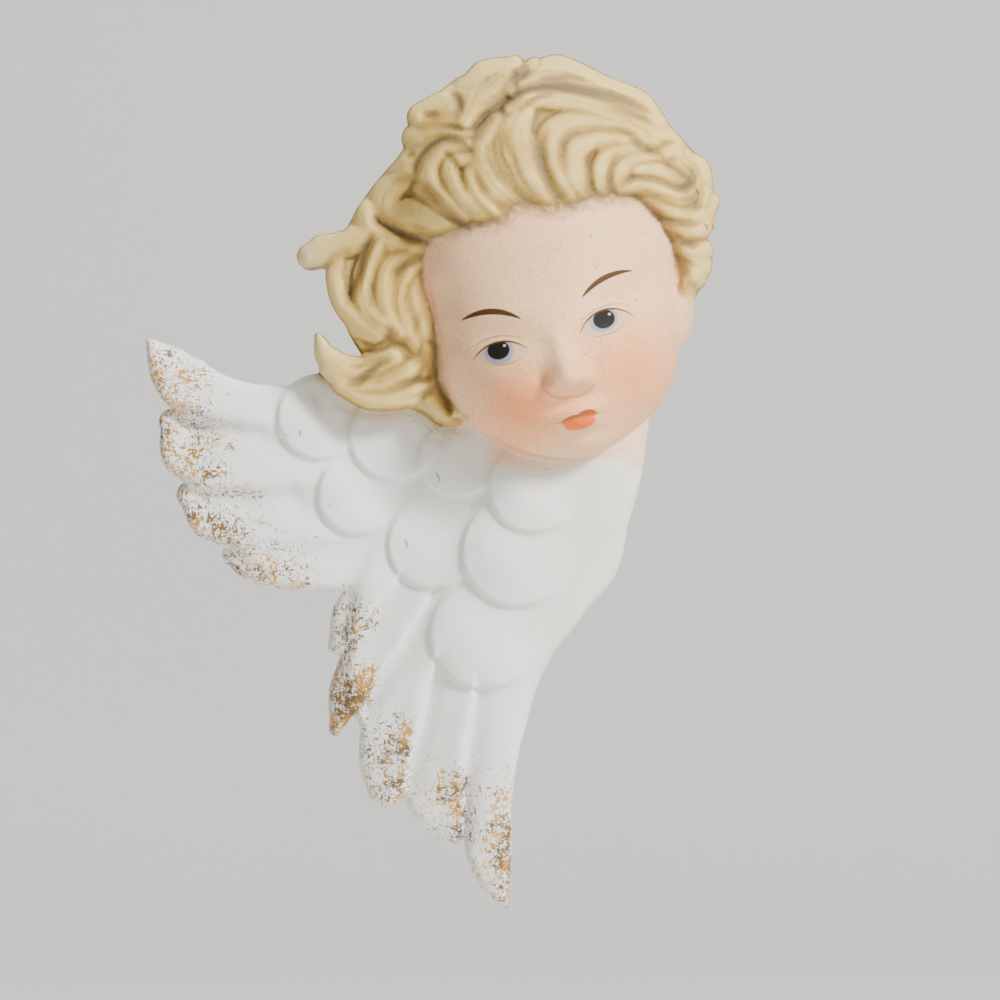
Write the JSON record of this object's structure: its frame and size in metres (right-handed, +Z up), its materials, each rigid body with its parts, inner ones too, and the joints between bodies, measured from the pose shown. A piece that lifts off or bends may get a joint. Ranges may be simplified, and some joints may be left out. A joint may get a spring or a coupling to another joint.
{
  "type": "cherub wall plaque",
  "caption": "Child's head over two folded wings in matt bisque, in high relief with a flat back, hung on a wall by a hole in the back of the head.",
  "frame": {"origin": "on the flat back, level with the chin, where the back lies against the wall", "axes": "+Y out of the back into the wall, so the face looks along -Y; +Z up the wall; +X to the right as seen from the front"},
  "size_m": [0.0667, 0.0275, 0.0984],
  "materials": {
    "bisque": "matt, painted"
  },
  "bodies": {
    "root": {"cherub_plaque": "bisque"}
  },
  "joints": []
}
